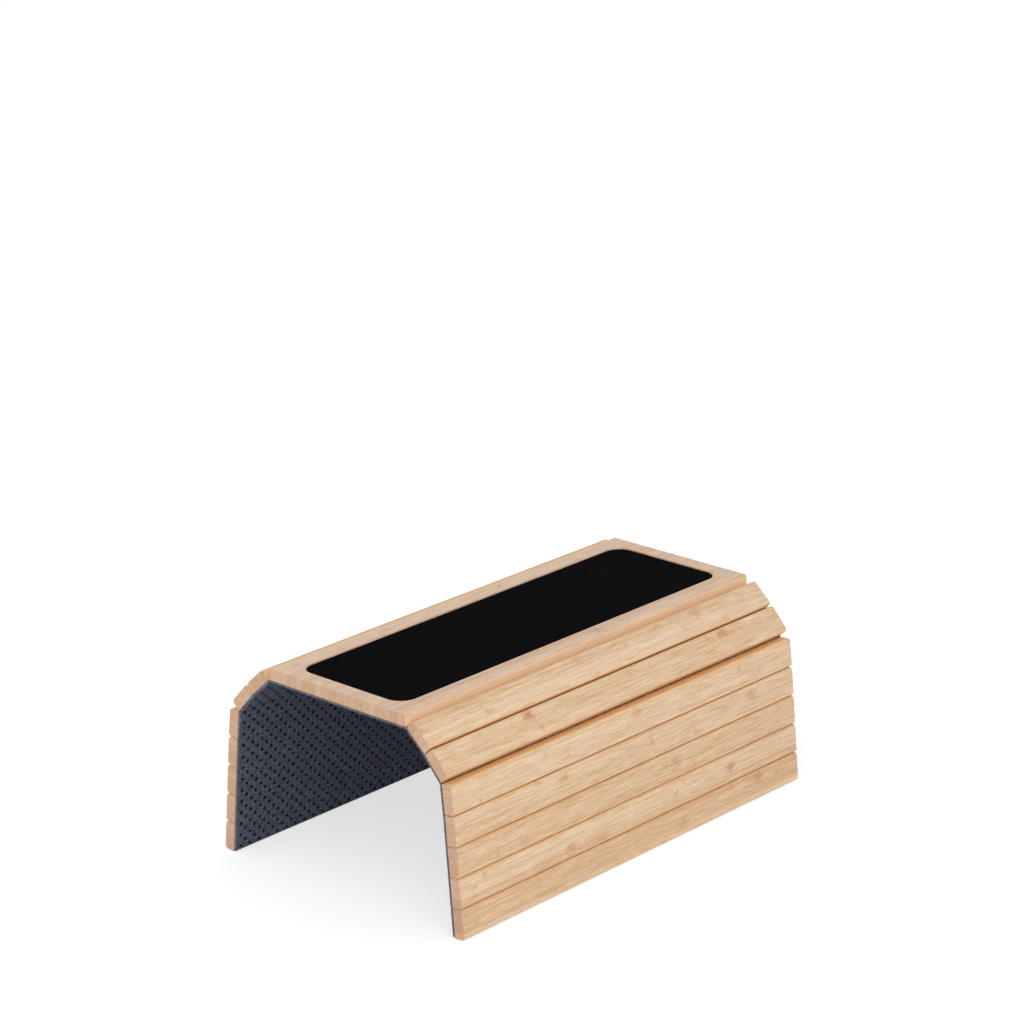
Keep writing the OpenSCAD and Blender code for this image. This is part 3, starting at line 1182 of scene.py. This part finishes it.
# The floor throws back most of the light, but the camera sees a fainter shadow on it
FLOOR_SHARE = 0.9
FLOOR_SHARE_SEEN = 0.5
FLOOR_GLOW = 0.65
LAMP_AIM = (0.0, 0.0, 0.08)
KEY_PLACE = (1.7, -0.9, 1.5)
KEY_WIDTH = 1.6
FRONT_PLACE = (1.25, -1.85, 0.7)
FRONT_WIDTH = 1.0


class ARMTRAY_OT_stage(Operator):
    """Make the plain white floor, the soft studio light and the camera"""
    bl_idname = "arm_tray.stage"
    bl_label = "Studio stage"

    def execute(self, context):
        stage = context.scene.arm_tray_stage
        bm = bmesh.new()
        flat_rectangle(bm, stage.floor_size, stage.floor_size)
        floor = finish_mesh(bm, "studio_floor", backdrop_material())
        even_sky(stage.sky)
        soft_light("key light", KEY_PLACE, LAMP_AIM, KEY_WIDTH, stage.key_power)
        soft_light("front light", FRONT_PLACE, LAMP_AIM, FRONT_WIDTH, stage.front_power)
        lens = bpy.data.cameras.new("photo camera")
        lens.lens = stage.camera_lens
        camera = bpy.data.objects.new("photo camera", lens)
        context.scene.collection.objects.link(camera)
        camera.location = stage.camera_place
        aim = (Vector(stage.camera_target) - camera.location).to_track_quat("-Z", "Y")
        roll = Matrix.Rotation(stage.camera_roll, 3, "Z").to_quaternion()
        camera.rotation_euler = (aim @ roll).to_euler()
        context.scene.camera = camera
        context.scene.view_settings.view_transform = "Standard"
        return {"FINISHED"}


class ARMTRAY_PT_parts(Panel):
    """Lists the parts of the arm tray and their sizes and colours"""
    bl_idname = "ARMTRAY_PT_parts"
    bl_label = "Arm tray"
    bl_space_type = "VIEW_3D"
    bl_region_type = "UI"
    bl_category = "Arm tray"

    def draw(self, context):
        layout = self.layout
        for operator in OPERATORS:
            layout.operator(operator.bl_idname)
        for name, group in SETTINGS.items():
            settings = getattr(context.scene, name)
            box = layout.box()
            box.label(text=group.__doc__)
            for label in group.__annotations__:
                box.prop(settings, label)


OPERATORS = (
    ARMTRAY_OT_stage,
    ARMTRAY_OT_centre_board,
    ARMTRAY_OT_slats,
    ARMTRAY_OT_grip_pad,
    ARMTRAY_OT_felt,
    ARMTRAY_OT_grip_dots,
)


def register():
    for cls in (*SETTINGS.values(), *OPERATORS, ARMTRAY_PT_parts):
        bpy.utils.register_class(cls)
    for name, group in SETTINGS.items():
        setattr(bpy.types.Scene, name, PointerProperty(type=group))


def unregister():
    for name in SETTINGS:
        delattr(bpy.types.Scene, name)
    for cls in reversed((*SETTINGS.values(), *OPERATORS, ARMTRAY_PT_parts)):
        bpy.utils.unregister_class(cls)


def main():
    register()
    for operator in OPERATORS:
        space, name = operator.bl_idname.split(".")
        getattr(getattr(bpy.ops, space), name)()


if __name__ == "__main__":
    main()
